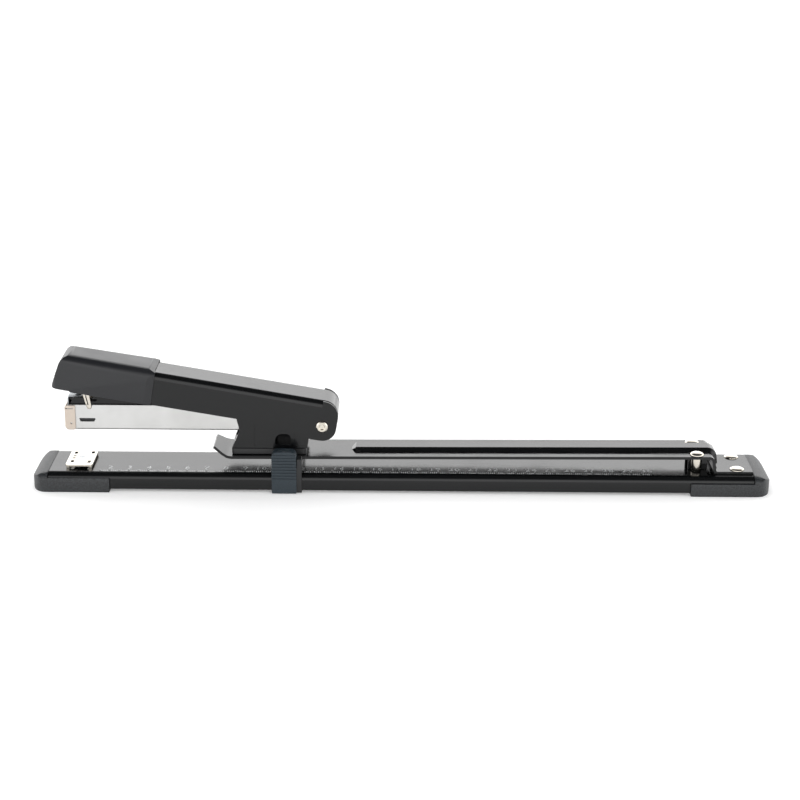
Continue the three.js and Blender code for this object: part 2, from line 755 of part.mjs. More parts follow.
// A black channel over the staples. It lifts with the handle for loading.
function innerArm() {
  const { inner, outer, low, floor } = GUIDE;
  const plate = rounded([
    [-169.9, low],
    [-50, low],
    [-44, 32],
    [-36, 32],
    [-36, 36],
    [-46, 40.5, 4],
    [-60, 44, 10],
    [-112, 48.4, 20],
    [-155.9, 48.4, 0.6],
    [-156.3, 45, 0.4],
    [-161.8, 45, 0.4],
    [-162.8, 47.1, 0.5],
    [-168.3, 47.1, 0.5],
    [-169.9, 43.8],
  ]);
  const reach = [-outer, outer];
  const across = [-inner, inner];
  return cut(
    join(acrossY(plate, reach), barY(PIVOT.x, PIVOT.z, MAGAZINE.ear - 0.4, reach, 24)),
    box([-180, -20], across, [floor, 60]),
    box([-180, -110], across, [30, 60]),
    box([-60, -20], across, [20, 60]),
    barY(PIVOT.x, PIVOT.z, PIVOT.hole, [-10, 10]),
  );
}

// The bright yoke that snaps into the notch of the magazine and keeps the inner arm down.
function latchYoke() {
  const strap = rounded([
    [-161.3, 41.3, 0.5],
    [-159.5, 40.9, 0.5],
    [-158.9, 42, 0.5],
    [-160.7, 53],
    [-164.3, 53],
  ]);
  const slit = rounded([
    [-160.9, 43],
    [-160.4, 43],
    [-162, 51],
    [-162.6, 51],
  ]);
  const between = box([-170, -150], [-6.1, 6.1], [30, 52.4]);
  return cut(acrossY(strap, [-6.55, 6.55]), between, acrossY(slit, [-10, 10]));
}

place("inner_arm", innerArm(), "blackPaint");
place("latch_yoke", latchYoke(), "nickel");

// Handle, drawn level about the pivot and then tilted -------------------------------------------------

const handle = new THREE.Group();
handle.position.set(PIVOT.x, 0, PIVOT.z);
handle.rotation.y = THREE.MathUtils.degToRad(HANDLE.tilt);
stapler.add(handle);

const handleSide = [
  [HANDLE.front, HANDLE.top],
  [HANDLE.front, -2.5],
  [-88, -2.5],
  [-88, -3.5],
  [-43.6, -3.5, 4],
  [-34, -4.5, 20],
  [-13, -6.3, 10],
  [-6.6, -7.9, 3],
  [7.4, -7.6, 7],
  [7.4, HANDLE.top, 8],
];

// A channel that opens downwards. At the rear its sides become ears for the pivot, and a tongue bends
// down between them; at the front a narrower tongue runs on under the cap.
function handleShell() {
  const { half, sheet, top, corner, front, tongue } = HANDLE;
  const reliefX = -1;
  const rear = handleSide.at(-1)[0];
  const low = -9;
  const outline = acrossY(rounded(handleSide, { step: 12 }), [-half, half]);
  const section = channel(half, half - sheet, low, top, sheet, corner, true);
  const ears = [-1, 1].map((side) => {
    const span = side < 0 ? [-half, sheet - half] : [half - sheet, half];
    return join(
      box([reliefX - 2, rear + 1], span, [low, top - corner]),
      box([reliefX - 0.5, rear + 1], span, [0, top]),
    );
  });
  const mid = top - sheet / 2;
  const bentPath = rounded(
    [
      [reliefX - 1, mid],
      [rear - sheet / 2, mid, 7.5],
      [rear - sheet / 2, 3],
    ],
    { open: true, step: 12 },
  );
  const bent = acrossY(band(bentPath, -sheet / 2, sheet / 2), [-8.8, 8.8]);
  const underCap = box([tongue, front + 0.5], [-7.2, 7.2], [top - sheet, top]);
  return cut(
    join(join(alongX(section, [front, reliefX]), ...ears, bent).intersect(outline), underCap),
    barY(0, 0, PIVOT.hole, [-20, 20]),
  );
}

// A moulded cap. Its sides lean in towards a narrower nose, and its rear rim is chamfered all round.
function handleCap() {
  const { half, noseHalf, wall, skin, rim, lean, top, low } = CAP;
  const { front, rear, corner } = CAP_X;
  const side = (inset) => {
    const crown = top - inset;
    const nose = front + inset * 1.3;
    return rounded([
      [nose, low + 0.5, inset ? 0 : 1],
      [-130.2, low + 0.5],
      [-130, low],
      [rear, low],
      [rear, HANDLE.top + 0.4],
      [rear - rim, crown, 2],
      [nose + lean * (crown - low), crown, 6 - inset],
    ]);
  };
  // Two sections, joined by straight lines: one at the rear rim and one at the nose.
  const crown = (inset) => {
    const stations = [
      [front - 1 + inset, noseHalf],
      [rear + (inset ? 1 : 0), half],
    ];
    const points = stations.flatMap(([x, crownHalf]) =>
      rounded([
        [inset - half, low - 2],
        [half - inset, low - 2],
        [crownHalf - inset, top - inset, inset ? HANDLE.corner + 0.2 : corner],
        [inset - crownHalf, top - inset, inset ? HANDLE.corner + 0.2 : corner],
      ]).map(({ x: y, y: z }) => [x, y, z]),
    );
    return wasm.Manifold.hull(points);
  };
  const plan = (inset) => {
    const reach = half - inset;
    const end = inset ? rear + 2 : rear;
    const rimHalf = inset ? reach : half - 0.7;
    const points = rounded([
      [front + inset, -reach, 4 - inset],
      [rear - rim, -reach],
      [end, -rimHalf],
      [end, rimHalf],
      [rear - rim, reach],
      [front + inset, reach, 4 - inset],
    ]);
    return upZ(points, [low - 4, top + 2]);
  };
  const across = [-half, half];
  const outer = acrossY(side(0), across).intersect(crown(0)).intersect(plan(0));
  const hollowSide = rounded([
    [front + skin - lean * 3, low - 3],
    [rear + 2, low - 3],
    [rear + 2, top - wall],
    [front + skin + lean * (top - wall - low), top - wall, 5],
  ]);
  const hollow = acrossY(hollowSide, across).intersect(crown(wall)).intersect(plan(wall));
  return cut(outer, hollow);
}

place("handle_shell", handleShell(), "blackPaint", handle);
place("handle_cap", handleCap(), "capPlastic", handle);

// Driver, which moves with the handle -----------------------------------------------------------------

const DRIVER = { half: 4.2, bladeHalf: 6.2, rivetX: -166.6, rivet: 1 };
const driverHole = barZ(DRIVER.rivetX, 0, DRIVER.rivet + 0.2, [40, 50]);

function driverArm() {
  const path = rounded(
    [
      [-170.5, 45.9],
      [-62, 43.2, 10],
      [-50, 39.6],
    ],
    { open: true },
  );
  const earSide = rounded([
    [-70, 42.9],
    [-62, 42.7],
    [-52, 40],
    [-44.5, 32],
    [-38, 30.5],
    [-36, 36],
    [-46, 40],
    [-62, 43.9],
    [-70, 44],
  ]);
  const reach = [-DRIVER.half, DRIVER.half];
  const leaf = acrossY(band(path, -0.6, 0.6), reach);
  const ears = cut(
    join(acrossY(earSide, reach), barY(PIVOT.x, PIVOT.z, 4.8, reach, 24)),
    box([-80, -20], [-3, 3], [20, 60]),
  );
  return cut(join(leaf, ears), barY(PIVOT.x, PIVOT.z, PIVOT.hole, [-10, 10]), driverHole);
}

function driverBlade() {
  const span = [STAPLE_X - 0.4, STAPLE_X + 0.1];
  const { half, bladeHalf } = DRIVER;
  const blade = box(span, [-bladeHalf, bladeHalf], [37.9, 46.5]);
  const lug = box(span, [0.2 - half, half - 0.2], [46.4, 47.15]);
  const tab = box([span[0], -164], [0.2 - half, half - 0.2], [46.65, 47.15]);
  return cut(join(blade, lug, tab), driverHole);
}

function driverRivet() {
  const { rivetX, rivet } = DRIVER;
  const profile = [
    [0, 45.1],
    [rivet, 45.1],
    [rivet, 47.25],
    [1.8, 47.25],
    [1.4, 47.8],
    [0, 47.9],
  ];
  return turned(profile, rivetX, 0, 16);
}

function returnLeaf() {
  const path = rounded(
    [
      [-66, 42.2],
      [-76, 42.2, 12],
      [-98, 39.9, 10],
      [-105, 39.9, 6],
      [-109, 41],
    ],
    { open: true },
  );
  return acrossY(band(path, -0.2, 0.2), [-3, 3]);
}

place("driver_arm", driverArm(), "blackPaint");
place("driver_blade", driverBlade(), "springSteel");
place("driver_rivet", driverRivet(), "springSteel");
place("press_block", box([-151, -143], [-3.8, 3.8], [46.5, 63.6]), "blackPlastic");
place("return_leaf", returnLeaf(), "springSteel");

export default stapler;
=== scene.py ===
# %% [markdown]
# # A long-arm stapler
# This stapler reaches 300 mm into a booklet. A ruled steel base carries a long flat arm, and the
# stapling head is hinged at the front of that arm. The engineering model already holds every part at
# its true size, so the work here is finish: eased edges, wire, print, and believable surfaces.

# %% Load the frame
import math

import bmesh
import bpy
from mathutils import Matrix, Vector


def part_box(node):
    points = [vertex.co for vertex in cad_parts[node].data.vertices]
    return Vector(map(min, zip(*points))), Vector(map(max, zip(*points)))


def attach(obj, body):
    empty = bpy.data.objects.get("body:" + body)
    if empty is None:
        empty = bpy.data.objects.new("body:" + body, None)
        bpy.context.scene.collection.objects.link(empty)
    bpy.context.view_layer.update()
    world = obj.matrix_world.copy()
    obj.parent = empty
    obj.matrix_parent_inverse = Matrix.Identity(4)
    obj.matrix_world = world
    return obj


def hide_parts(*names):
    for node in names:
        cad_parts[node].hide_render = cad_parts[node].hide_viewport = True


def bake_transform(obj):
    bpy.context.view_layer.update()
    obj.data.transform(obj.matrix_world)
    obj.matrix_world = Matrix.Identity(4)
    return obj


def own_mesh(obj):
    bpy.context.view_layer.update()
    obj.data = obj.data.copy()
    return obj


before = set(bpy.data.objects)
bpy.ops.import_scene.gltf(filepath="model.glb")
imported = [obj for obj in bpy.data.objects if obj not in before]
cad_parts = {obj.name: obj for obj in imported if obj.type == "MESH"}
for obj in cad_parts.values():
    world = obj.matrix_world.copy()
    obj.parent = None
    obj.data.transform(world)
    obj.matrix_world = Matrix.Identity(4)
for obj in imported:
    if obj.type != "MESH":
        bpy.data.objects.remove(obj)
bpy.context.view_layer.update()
MM = 0.001

# %% [markdown]
# The camera stands about 0.96 m away, a little above the bench, square to the stapler's side. A long
# lens keeps the base almost parallel, which is how such a slim tool is usually shown.

# %% Camera
ELEVATION = math.radians(18.6)
DISTANCE = 0.962
ROLL = math.radians(0.43)
AIM = Vector((-1.15, 0, 44.865)) * MM
SENSOR_MM = 36
LENS_MM = 83.57
NEAREST = 0.01  # nothing closer than this, in metres, is drawn

back = Vector((0, -math.cos(ELEVATION), math.sin(ELEVATION)))
camera_data = bpy.data.cameras.new("product_camera")
camera_data.sensor_width = SENSOR_MM
camera_data.lens = LENS_MM
camera_data.clip_start = NEAREST
camera = bpy.data.objects.new("product_camera", camera_data)
facing = (-back).to_track_quat("-Z", "Y").to_matrix().to_4x4()
stand = Matrix.Translation(AIM + back * DISTANCE)
camera.matrix_world = stand @ facing @ Matrix.Rotation(ROLL, 4, "Z")
bpy.context.scene.collection.objects.link(camera)
bpy.context.scene.camera = camera
print("camera at", [round(v, 3) for v in camera.location])

# %% [markdown]
# Every material and every node tree below is built with one helper. It adds a node, sets its plain
# settings, and fills its sockets: a socket given another socket gets a link, anything else a value.
# Colours are written as sRGB hex, as in any paint chart, and turned to linear light by one function.

# %% Node and colour helpers
def add(tree, kind, sockets=None, **settings):
    node = tree.nodes.new(kind)
    for name, value in settings.items():
        setattr(node, name, value)
    for name, value in (sockets or {}).items():
        if isinstance(value, bpy.types.NodeSocket):
            tree.links.new(value, node.inputs[name])
        else:
            node.inputs[name].default_value = value
    return node


def linear(hex_colour):
    channels = [int(hex_colour[i : i + 2], 16) / 255 for i in (1, 3, 5)]
    return (*[c / 12.92 if c <= 0.04045 else ((c + 0.055) / 1.055) ** 2.4 for c in channels], 1)


def per(size_mm):
    """The Scale of a texture whose features are this many millimetres across."""
    return 1 / (size_mm * MM)


# A Mix node has several sockets of the same name, so its colour sockets are given by their places.
COLOUR_A, COLOUR_B, COLOUR_OUT = 6, 7, 2
print("mid grey in linear light:", round(linear("#808080")[0], 3))

# %% [markdown]
# Black enamel shows what it faces. A bright, low horizon puts a pale sheen on the level faces, and a
# dim ceiling leaves the rounded edges black, which is what makes the sheet metal readable. A wide
# soft lamp above lights the floor and the plastics. It is hidden from reflections, so that the
# rounded edges stay black.

# %% Sky
HORIZON_TOP = 0.42  # the sky is white up to this height, on a scale from 0 at the horizon to 1 overhead
CEILING = 0.7  # and at its darkest from here up
CEILING_TONE = (0.03, 0.03, 0.031, 1)
SKY_STRENGTH = 2.2

world = bpy.data.worlds.new("studio")
bpy.context.scene.world = world
world.use_nodes = True
sky = world.node_tree
sky.nodes.clear()
direction = add(sky, "ShaderNodeTexCoord").outputs["Generated"]
height = add(sky, "ShaderNodeSeparateXYZ", {"Vector": direction}).outputs["Z"]
ramp = add(sky, "ShaderNodeValToRGB", {"Fac": height})
low_stop, high_stop = ramp.color_ramp.elements
low_stop.position = HORIZON_TOP
low_stop.color = (1, 1, 1, 1)
high_stop.position = CEILING
high_stop.color = CEILING_TONE
glow = add(sky, "ShaderNodeBackground", {"Color": ramp.outputs["Color"], "Strength": SKY_STRENGTH})
add(sky, "ShaderNodeOutputWorld", {"Surface": glow.outputs["Background"]})
print("sky:", world.name, "with", len(sky.nodes), "nodes")

# %% Overhead lamp and rear softbox
LAMP_SPREAD = math.radians(70)
LAMP_STRENGTH = 1.28
lamp_data = bpy.data.lights.new("overhead_diffuser", "SUN")
lamp_data.angle = LAMP_SPREAD
lamp_data.energy = LAMP_STRENGTH
lamp = bpy.data.objects.new("overhead_diffuser", lamp_data)
lamp.rotation_euler = (math.radians(-14), math.radians(-8), 0)
lamp.visible_glossy = False
bpy.context.scene.collection.objects.link(lamp)

# A wide softbox behind the bench is what domed rivets and turned rims mirror.
SOFTBOX_WIDTH, SOFTBOX_HEIGHT = 2.6, 0.9
SOFTBOX_WATTS = 6
rear_data = bpy.data.lights.new("rear_softbox", "AREA")
rear_data.shape = "RECTANGLE"
rear_data.size = SOFTBOX_WIDTH
rear_data.size_y = SOFTBOX_HEIGHT
rear_data.energy = SOFTBOX_WATTS
rear = bpy.data.objects.new("rear_softbox", rear_data)
rear.location = (0, 1.25, 0.95)
rear.rotation_euler = (math.radians(-52), 0, 0)
rear.visible_camera = False
bpy.context.scene.collection.objects.link(rear)
print("lights:", lamp.name, "and", rear.name)

# %% [markdown]
# The floor is a sheet of white paper. It gives back a little light of its own, as paper does on a
# light table, so that it fades into the white horizon.

# %% Floor
FLOOR_REACH = 1.5
FLOOR_GLOW = 0.22
floor_mesh = bpy.data.meshes.new("floor")
floor_corners = [(-1, -1), (1, -1), (1, 1), (-1, 1)]
floor_points = [(x * FLOOR_REACH, y * FLOOR_REACH, 0) for x, y in floor_corners]
floor_mesh.from_pydata(floor_points, [], [(0, 1, 2, 3)])
floor = bpy.data.objects.new("floor", floor_mesh)
bpy.context.scene.collection.objects.link(floor)
paper = bpy.data.materials.new("floor_paper_roll")
paper.use_nodes = True
paper.node_tree.nodes.clear()
matt = add(paper.node_tree, "ShaderNodeBsdfDiffuse", {"Color": linear("#f3f3f3")})
backlight = add(paper.node_tree, "ShaderNodeEmission", {"Strength": FLOOR_GLOW})
lit_paper = add(paper.node_tree, "ShaderNodeAddShader",
                {0: matt.outputs["BSDF"], 1: backlight.outputs["Emission"]})
add(paper.node_tree, "ShaderNodeOutputMaterial", {"Surface": lit_paper.outputs["Shader"]})
floor_mesh.materials.append(paper)
bpy.context.scene.view_settings.view_transform = "Standard"
print("floor:", 2 * FLOOR_REACH, "m wide")

# %% [markdown]
# Each finish starts from the same shader. Whatever is the same all over a surface is set on the
# shader's own sockets; the texture that makes it look made, such as orange peel or brushing, is
# added recipe by recipe in the cells that follow.

# %% Start of a finish
def finish(name, colour, roughness, metallic=0.0, **constants):
    material = bpy.data.materials.new(name)
    material.use_nodes = True
    tree = material.node_tree
    tree.nodes.clear()
    sockets = {"Base Color": linear(colour), "Roughness": roughness, "Metallic": metallic}
    shader = add(tree, "ShaderNodeBsdfPrincipled", {**sockets, **constants})
    add(tree, "ShaderNodeOutputMaterial", {"Surface": shader.outputs["BSDF"]})
    place = add(tree, "ShaderNodeTexCoord").outputs["Object"]
    return material, tree, shader, place


def link(tree, output, shader, socket):
    tree.links.new(output, shader.inputs[socket])


# %% [markdown]
# The base, arm, bracket and handle are pressed steel with black stove enamel: sprayed, then baked.
# Baking leaves a hard gloss with a faint orange peel about a millimetre across, so reflections
# break up a little at their edges. Handling adds soft patches that are slightly less glossy, and
# paper leaves fine rub lines along the length.

# %% Black stove enamel
enamel, tree, shader, place = finish("black_stove_enamel", "#0b0c0d", 0.16, IOR=1.4)
peel = add(tree, "ShaderNodeTexNoise", {"Vector": place, "Scale": per(1.3), "Detail": 2.5})
bump = add(tree, "ShaderNodeBump", {"Height": peel.outputs["Fac"], "Distance": 0.022 * MM})
link(tree, bump.outputs["Normal"], shader, "Normal")
RUB_STRETCH = 0.03  # a rub mark is about thirty times as long as it is wide
along = add(tree, "ShaderNodeMapping", {"Vector": place, "Scale": (RUB_STRETCH, 1, 1)})
rubs = add(tree, "ShaderNodeTexNoise", {"Vector": along.outputs["Vector"], "Scale": per(0.7), "Detail": 3})
hands = add(tree, "ShaderNodeTexNoise", {"Vector": place, "Scale": per(22), "Detail": 2})
both = add(tree, "ShaderNodeMath", {0: rubs.outputs["Fac"], 1: hands.outputs["Fac"]}, operation="MULTIPLY")
gloss = add(tree, "ShaderNodeMapRange", {"Value": both.outputs["Value"], "From Min": 0.12, "From Max": 0.42,
                                         "To Min": 0.09, "To Max": 0.26})
link(tree, gloss.outputs["Result"], shader, "Roughness")
print(enamel.name, "has", len(tree.nodes), "nodes")

# %% [markdown]
# The two shoes are injection-moulded ABS with a spark-eroded grain. The mould's grain is about
# 0.3 mm; it is drawn at 0.7 mm because a finer one would vanish at this distance. The grain turns
# the highlight into a soft grey veil.

# %% Grained ABS of the feet
foot_abs, tree, shader, place = finish("spark_grained_abs", "#212427", 0.46, IOR=1.5)
grain = add(tree, "ShaderNodeTexNoise", {"Vector": place, "Scale": per(0.7), "Detail": 3, "Roughness": 0.65})
bump = add(tree, "ShaderNodeBump", {"Height": grain.outputs["Fac"], "Distance": 0.2 * MM})
link(tree, bump.outputs["Normal"], shader, "Normal")
speckle = add(tree, "ShaderNodeMapRange", {"Value": grain.outputs["Fac"],
                                           "From Min": 0.36, "From Max": 0.64})
tone = add(tree, "ShaderNodeMix", {0: speckle.outputs["Result"], COLOUR_A: linear("#08090a"),
                                   COLOUR_B: linear("#292c2f")}, data_type="RGBA")
link(tree, tone.outputs[COLOUR_OUT], shader, "Base Color")
print(foot_abs.name, "ready")

# %% [markdown]
# The cap over the front of the handle is the same plastic with a satin mould, so it stays smooth and
# only spreads the light. The paper stop's grips are a blue-grey nylon. Hidden blocks and the pusher
# are plain black acetal, and the stop's friction pad is rubber.

# %% Satin ABS of the cap
cap_abs, tree, shader, place = finish("satin_moulded_abs", "#18191c", 0.36, IOR=1.45)
skin = add(tree, "ShaderNodeTexNoise", {"Vector": place, "Scale": per(0.5), "Detail": 2})
bump = add(tree, "ShaderNodeBump", {"Height": skin.outputs["Fac"], "Distance": 0.012 * MM})
link(tree, bump.outputs["Normal"], shader, "Normal")
flow = add(tree, "ShaderNodeTexNoise", {"Vector": place, "Scale": per(16), "Detail": 2})
satin = add(tree, "ShaderNodeMapRange", {"Value": flow.outputs["Fac"], "To Min": 0.3, "To Max": 0.44})
link(tree, satin.outputs["Result"], shader, "Roughness")
print(cap_abs.name, "ready")

# %% Blue-grey nylon of the grips
nylon, tree, shader, place = finish("blue_grey_nylon", "#1c262c", 0.46, IOR=1.44)
skin = add(tree, "ShaderNodeTexNoise", {"Vector": place, "Scale": per(0.6), "Detail": 2})
bump = add(tree, "ShaderNodeBump", {"Height": skin.outputs["Fac"], "Distance": 0.03 * MM})
link(tree, bump.outputs["Normal"], shader, "Normal")
tone = add(tree, "ShaderNodeMix", {0: skin.outputs["Fac"], COLOUR_A: linear("#141d23"),
                                   COLOUR_B: linear("#26323a")}, data_type="RGBA")
link(tree, tone.outputs[COLOUR_OUT], shader, "Base Color")
print(nylon.name, "ready")

# %% Black acetal and rubber
acetal, tree, shader, place = finish("black_acetal", "#151617", 0.38, IOR=1.48)
skin = add(tree, "ShaderNodeTexNoise", {"Vector": place, "Scale": per(0.9), "Detail": 2})
bump = add(tree, "ShaderNodeBump", {"Height": skin.outputs["Fac"], "Distance": 0.015 * MM})
link(tree, bump.outputs["Normal"], shader, "Normal")

rubber, tree, shader, place = finish("black_nitrile_rubber", "#1c1c1c", 0.85, IOR=1.52)
crumb = add(tree, "ShaderNodeTexVoronoi", {"Vector": place, "Scale": per(0.8)})
bump = add(tree, "ShaderNodeBump", {"Height": crumb.outputs["Distance"], "Distance": 0.04 * MM})
link(tree, bump.outputs["Normal"], shader, "Normal")
print("hidden plastics:", acetal.name, rubber.name)

# %% [markdown]
# Bright nickel plate covers the anvil, posts, rivets and pivot. It is slightly warmer than chrome.
# Barrel plating and handling leave it mirror-like with cloudy patches, so its roughness wanders.

# %% Bright nickel
bright_nickel, tree, shader, place = finish("bright_nickel_plate", "#cfc9be", 0.16, 1.0)
cloud = add(tree, "ShaderNodeTexNoise", {"Vector": place, "Scale": per(3), "Detail": 3})
haze = add(tree, "ShaderNodeMapRange", {"Value": cloud.outputs["Fac"], "To Min": 0.1, "To Max": 0.24})
link(tree, haze.outputs["Result"], shader, "Roughness")
bump = add(tree, "ShaderNodeBump", {"Height": cloud.outputs["Fac"], "Distance": 0.004 * MM})
link(tree, bump.outputs["Normal"], shader, "Normal")
print(bright_nickel.name, "ready")

# %% [markdown]
# The magazine is bent from strip that was brushed along its length before plating. Real brush lines
# are about 0.05 mm apart; they are drawn at 0.3 mm and stretched forty times along X, which gives
# the long soft streaks that the eye reads as satin metal. The head plate has the same streaks and
# a warmer, champagne tone.

# %% Satin nickel
STREAK = 0.025  # the pattern runs this much slower along X, so its marks are forty times as long


def satin_metal(name, colour, light_tone, dark_tone, low, high):
    metal, tree, shader, place = finish(name, colour, low, 1.0)
    stretched = add(tree, "ShaderNodeMapping", {"Vector": place, "Scale": (STREAK, 1, 1)})
    brush = add(tree, "ShaderNodeTexNoise", {"Vector": stretched.outputs["Vector"],
                                             "Scale": per(0.3), "Detail": 3})
    bump = add(tree, "ShaderNodeBump", {"Height": brush.outputs["Fac"], "Distance": 0.004 * MM})
    link(tree, bump.outputs["Normal"], shader, "Normal")
    patches = add(tree, "ShaderNodeTexNoise", {"Vector": place, "Scale": per(14), "Detail": 2})
    mixed = add(tree, "ShaderNodeMath", {0: brush.outputs["Fac"], 1: patches.outputs["Fac"]},
                operation="MULTIPLY")
    rough = add(tree, "ShaderNodeMapRange", {"Value": mixed.outputs["Value"], "From Max": 0.5,
                                             "To Min": low, "To Max": high})
    link(tree, rough.outputs["Result"], shader, "Roughness")
    tone = add(tree, "ShaderNodeMix", {0: patches.outputs["Fac"], COLOUR_A: linear(dark_tone),
                                       COLOUR_B: linear(light_tone)}, data_type="RGBA")
    link(tree, tone.outputs[COLOUR_OUT], shader, "Base Color")
    return metal


satin_nickel = satin_metal("satin_nickel_plate", "#c4c4c2", "#d0d0cf", "#b6b6b4", 0.24, 0.42)
champagne = satin_metal("champagne_nickel_plate", "#beb3a8", "#c9beb3", "#b4a89c", 0.3, 0.45)
print("satin metals:", satin_nickel.name, champagne.name)

# %% [markdown]
# Screws, washers and the hidden rail are zinc plated: a cool grey with small crystals, called
# spangle, that catch the light differently. Springs are drawn wire, darker and smoother. Staples
# are galvanised wire, glued side by side.

# %% Zinc, spring wire and staple wire
zinc, tree, shader, place = finish("zinc_plated_steel", "#a9adb0", 0.34, 1.0)
spangle = add(tree, "ShaderNodeTexVoronoi", {"Vector": place, "Scale": per(1.2)})
tone = add(tree, "ShaderNodeMix", {0: spangle.outputs["Distance"], COLOUR_A: linear("#979b9e"),
                                   COLOUR_B: linear("#babec1")}, data_type="RGBA")
link(tree, tone.outputs[COLOUR_OUT], shader, "Base Color")
rough = add(tree, "ShaderNodeMapRange", {"Value": spangle.outputs["Distance"],
                                         "To Min": 0.26, "To Max": 0.46})
link(tree, rough.outputs["Result"], shader, "Roughness")

spring_wire, tree, shader, place = finish("drawn_spring_wire", "#83868a", 0.28, 1.0)
draw = add(tree, "ShaderNodeTexNoise", {"Vector": place, "Scale": per(0.5), "Detail": 2})
rough = add(tree, "ShaderNodeMapRange", {"Value": draw.outputs["Fac"], "To Min": 0.18, "To Max": 0.42})
link(tree, rough.outputs["Result"], shader, "Roughness")

staple_wire, tree, shader, place = finish("galvanised_staple_wire", "#c3c6c8", 0.3, 1.0)
glue = add(tree, "ShaderNodeTexNoise", {"Vector": place, "Scale": per(2.5), "Detail": 2})
rough = add(tree, "ShaderNodeMapRange", {"Value": glue.outputs["Fac"], "To Min": 0.2, "To Max": 0.5})
link(tree, rough.outputs["Result"], shader, "Roughness")
print("plain metals:", zinc.name, spring_wire.name, staple_wire.name)

# %% [markdown]
# The ruler is pad printed in an off-white ink. A soft silicone pad carries the ink over from an
# etched plate and lays it thin, so it varies a little from mark to mark.

# %% Printing ink
print_ink, tree, shader, place = finish("pad_printed_ink", "#dfe2e2", 0.6, IOR=1.5)
wear = add(tree, "ShaderNodeTexNoise", {"Vector": place, "Scale": per(1.6), "Detail": 3})
tone = add(tree, "ShaderNodeMix", {0: wear.outputs["Fac"], COLOUR_A: linear("#b9bdbe"),
                                   COLOUR_B: linear("#f2f4f4")}, data_type="RGBA")
link(tree, tone.outputs[COLOUR_OUT], shader, "Base Color")
print("materials so far:", len(bpy.data.materials))

# %% [markdown]
# A stamped or moulded part has no knife edge: shears, paint and moulds all leave a small radius, and
# that radius is what catches a thin line of light. Each frame node is copied, its loose triangles
# are merged back into flat faces, and a narrow bevel is cut along every edge that turns by more than
# 35 degrees. Round parts keep their facets, which smooth shading hides.

# %% Easing edges
SHARP = math.radians(35)
SAME_PLANE = math.radians(0.8)  # triangles that turn by less than this make one flat face
SAME_POINT = 0.0005 * MM
BEVEL_STEPS = 2


def smooth(mesh):
    mesh.polygons.foreach_set("use_smooth", [True] * len(mesh.polygons))
    mesh.set_sharp_from_angle(angle=SHARP)


def settle(piece, body, nodes, material=None):
    """Bakes the modifiers, gives the piece its material, ties it to its body and hides its nodes."""
    depsgraph = bpy.context.evaluated_depsgraph_get()
    mesh = bpy.data.meshes.new_from_object(piece.evaluated_get(depsgraph))
    piece.modifiers.clear()
    piece.data = mesh
    mesh.name = piece.name
    if material:
        mesh.materials.clear()
        mesh.materials.append(material)
    if body:
        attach(piece, body)
    if nodes:
        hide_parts(*nodes)
    return piece


def eased(node, body, material, radius_mm):
    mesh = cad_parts[node].data.copy()
    shape = bmesh.new()
    shape.from_mesh(mesh)
    bmesh.ops.remove_doubles(shape, verts=shape.verts, dist=SAME_POINT)
    bmesh.ops.dissolve_limit(shape, angle_limit=SAME_PLANE, verts=shape.verts, edges=shape.edges)
    shape.to_mesh(mesh)
    shape.free()
    smooth(mesh)
    piece = bpy.data.objects.new(node + "_finished", mesh)
    bpy.context.scene.collection.objects.link(piece)
    bevel = piece.modifiers.new("eased_edges", "BEVEL")
    bevel.width = radius_mm * MM
    bevel.segments = BEVEL_STEPS
    bevel.limit_method = "ANGLE"
    bevel.angle_limit = SHARP
    bevel.use_clamp_overlap = True
    flat = piece.modifiers.new("flat_faces_stay_flat", "WEIGHTED_NORMAL")
    flat.keep_sharp = True
    return settle(piece, body, [node], material)


print("edges that turn by more than", round(math.degrees(SHARP)), "degrees are eased")
